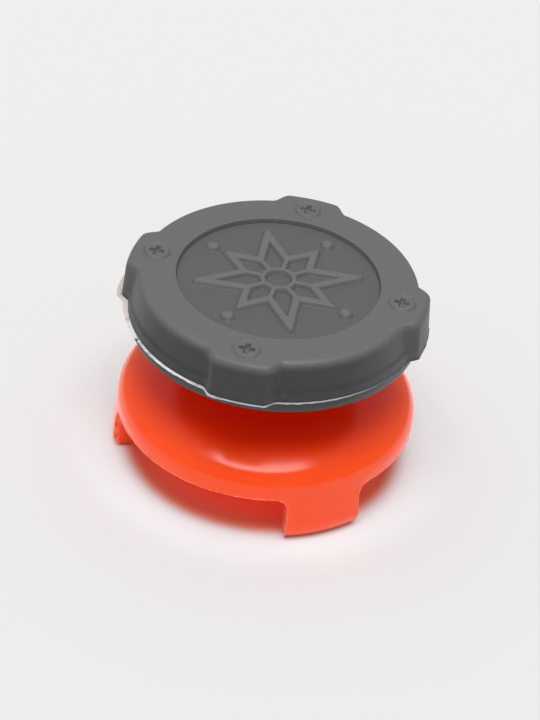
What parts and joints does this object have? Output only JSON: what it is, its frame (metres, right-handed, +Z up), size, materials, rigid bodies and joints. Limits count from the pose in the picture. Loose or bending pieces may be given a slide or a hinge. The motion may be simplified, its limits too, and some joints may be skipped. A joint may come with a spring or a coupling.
{
  "type": "controller thumb grip",
  "caption": "Clip-on raised thumb grip for a gamepad stick: an orange spool with spring clips and a lobed grey rubber pad with moulded screw heads and a raised rosette.",
  "frame": {"origin": "on the surface that the clips stand on, under the stem's axis", "axes": "+Z up along the stem towards the thumb; +X and +Y through the middles of two neighbouring lobes"},
  "size_m": [0.0248, 0.0248, 0.0168],
  "materials": {
    "orange_plastic": "glossy moulded orange plastic",
    "grey_rubber": "matte dark grey moulded rubber"
  },
  "bodies": {
    "root": {"clip_base": "orange_plastic", "grip_pad": "grey_rubber"}
  },
  "joints": []
}
